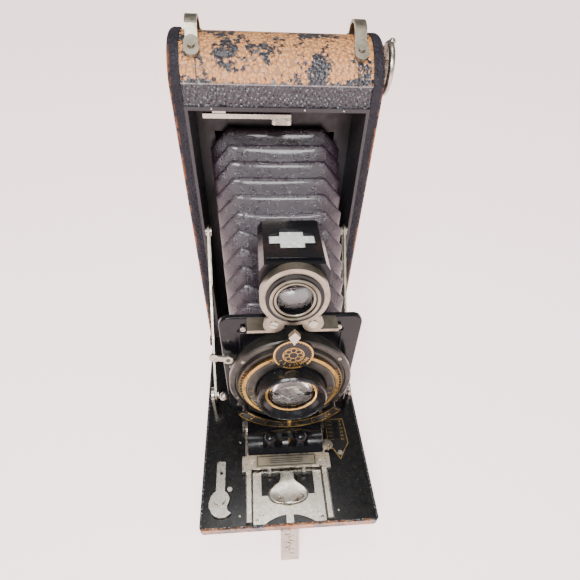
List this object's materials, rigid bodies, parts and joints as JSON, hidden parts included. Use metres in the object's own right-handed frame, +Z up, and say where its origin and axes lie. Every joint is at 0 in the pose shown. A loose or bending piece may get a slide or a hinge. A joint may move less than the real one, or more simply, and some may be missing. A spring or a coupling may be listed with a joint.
{
  "type": "folding bellows camera",
  "caption": "Vintage folding roll-film camera, bed down: leather-covered round-ended body, pleated bellows, standard with shutter and lens, swivelling reflecting finder, folding foot.",
  "frame": {"origin": "centre of the mouth of the tripod socket on the underside of the bed", "axes": "+Z up with the camera standing on its round end and foot, -Y towards the subject, +X to the right seen from the subject's side"},
  "size_m": [0.13, 0.2451, 0.2504],
  "materials": {
    "leather_black": "pebble grain, satin",
    "leather_worn": "worn through to tan",
    "bellows_leather": "smooth, slightly glossy",
    "black_enamel": "gloss",
    "black_lacquer": "satin",
    "grey_enamel": "worn satin",
    "nickel": "aged nickel plate",
    "brass": "lacquered",
    "steel": "satin",
    "glass": "polished",
    "ruby_glass": "polished",
    "mirror": "polished",
    "wood": "varnished"
  },
  "bodies": {
    "camera_body": {"side_shell_left": "leather_black", "side_shell_right": "leather_black", "upper_chamber_shell": "leather_worn", "lower_chamber_shell": "leather_worn", "opening_liner": "black_lacquer", "film_gate": "black_lacquer", "latch_bar": "nickel", "strap_loops": "nickel", "hinge_lugs": "black_enamel", "bed_hinge_pin": "steel", "side_tripod_bush": "brass", "spool_centres": "nickel", "strut_pins": "nickel", "bellows": "bellows_leather"},
    "upper_roller": {"roller_upper": "steel"},
    "lower_roller": {"roller_lower": "steel"},
    "supply": {"supply_spool": "wood"},
    "winder": {"winding_key": "nickel", "take_up_spool": "wood"},
    "back": {"back_cover": "leather_black", "pressure_plate": "black_lacquer", "ruby_window": "ruby_glass"},
    "back_catch": {"back_catch": "nickel"},
    "bed": {"bed_leather": "leather_black", "bed_panel": "black_lacquer", "bed_tripod_bush": "brass", "focus_rails": "nickel", "track_plate": "nickel", "focus_scale_plate": "brass", "bed_fasteners": "nickel", "foot_bracket": "nickel", "strut_ears": "nickel"},
    "bed_catch": {"bed_catch_lever": "nickel"},
    "foot": {"foot": "nickel"},
    "struts": {"side_struts": "nickel"},
    "standard": {"carriage_base": "nickel", "carriage_block": "black_enamel", "number_plate": "nickel", "lens_board": "black_enamel", "board_stud": "nickel", "shutter_case": "grey_enamel", "shutter_rings": "grey_enamel", "shutter_blades": "steel", "iris_leaves": "steel", "lens_bezel": "black_enamel", "front_lens": "glass", "rear_flange": "brass", "rear_lens": "glass", "speed_dial": "brass", "aperture_scale": "brass", "finder_bracket": "nickel"},
    "knob_left": {"pinch_knob_left": "black_enamel"},
    "knob_right": {"pinch_knob_right": "black_enamel"},
    "speed_hand": {"speed_pointer": "nickel"},
    "aperture_hand": {"aperture_pointer": "brass"},
    "release": {"release_lever": "nickel"},
    "finder": {"finder_box": "black_enamel", "finder_glass": "glass", "finder_mirror": "mirror"},
    "focus_lock": {"focus_lever": "nickel"}
  },
  "joints": [
    {"name": "bed_fold", "type": "hinge", "parent": "camera_body", "child": "bed", "pos_m": [0, 0.10317, 0.00446], "axis": [-1, 0, 0], "range_deg": [0, 15], "deforming": ["bellows"]},
    {"name": "strut_turn", "type": "hinge", "parent": "bed", "child": "struts", "pos_m": [0, 0.0293, 0.02165], "axis": [1, 0, 0], "range_deg": [0, 11.1]},
    {"name": "foot_fold", "type": "hinge", "parent": "bed", "child": "foot", "pos_m": [0, -0.06241, -0.00242], "axis": [1, 0, 0], "range_deg": [0, 118]},
    {"name": "bed_catch_turn", "type": "hinge", "parent": "bed", "child": "bed_catch", "pos_m": [-0.04509, -0.04802, 0.00892], "axis": [0, 0, 1], "range_deg": [0, 12], "stiffness_Nm_per_rad": 0.01, "springref_deg": -11.46},
    {"name": "standard_slide", "type": "slide", "parent": "bed", "child": "standard", "axis": [0, -1, 0], "range_m": [-0.014, 0.0075], "deforming": ["bellows"]},
    {"name": "focus_lever_tilt", "type": "hinge", "parent": "standard", "child": "focus_lock", "pos_m": [0, -0.03159, 0.01146], "axis": [-1, 0, 0], "range_deg": [0, 5], "stiffness_Nm_per_rad": 0.02, "springref_deg": -5.73},
    {"name": "pinch_left", "type": "slide", "parent": "standard", "child": "knob_left", "axis": [1, 0, 0], "range_m": [0, 0.0028], "stiffness_N_per_m": 150, "springref_m": -0.001},
    {"name": "pinch_right", "type": "slide", "parent": "standard", "child": "knob_right", "axis": [1, 0, 0], "range_m": [-0.0028, 0]},
    {"name": "speed_turn", "type": "hinge", "parent": "standard", "child": "speed_hand", "pos_m": [0.00318, 0, 0.09871], "axis": [0, 1, 0], "range_deg": [-35, 35]},
    {"name": "aperture_turn", "type": "hinge", "parent": "standard", "child": "aperture_hand", "pos_m": [0.00318, 0, 0.06496], "axis": [0, 1, 0], "range_deg": [-42, 42]},
    {"name": "release_press", "type": "hinge", "parent": "standard", "child": "release", "pos_m": [-0.03482, 0, 0.08349], "axis": [0, -1, 0], "range_deg": [0, 10], "stiffness_Nm_per_rad": 0.01, "springref_deg": -5.73},
    {"name": "finder_swivel", "type": "hinge", "parent": "standard", "child": "finder", "pos_m": [0.00318, 0, 0.13246], "axis": [0, 1, 0], "range_deg": [0, 90]},
    {"name": "key_turn", "type": "hinge", "parent": "camera_body", "child": "winder", "pos_m": [0, 0.1366, 0.20022], "axis": [1, 0, 0], "continuous": true},
    {"name": "supply_turn", "type": "hinge", "parent": "camera_body", "child": "supply", "pos_m": [0, 0.1366, -0.01172], "axis": [1, 0, 0], "continuous": true},
    {"name": "upper_roller_turn", "type": "hinge", "parent": "camera_body", "child": "upper_roller", "pos_m": [0, 0.15221, 0.17386], "axis": [1, 0, 0], "continuous": true},
    {"name": "lower_roller_turn", "type": "hinge", "parent": "camera_body", "child": "lower_roller", "pos_m": [0, 0.15221, 0.01465], "axis": [1, 0, 0], "continuous": true},
    {"name": "back_lift_off", "type": "slide", "parent": "camera_body", "child": "back", "axis": [0, 1, 0], "range_m": [0, 0.04]},
    {"name": "back_catch_slide", "type": "slide", "parent": "back", "child": "back_catch", "axis": [1, 0, 0], "range_m": [0, 0.005]}
  ],
  "couplings": [
    {"joint": "strut_turn", "follows": "bed_fold", "ratio": 0.7328},
    {"joint": "pinch_right", "follows": "pinch_left", "ratio": -1}
  ]
}
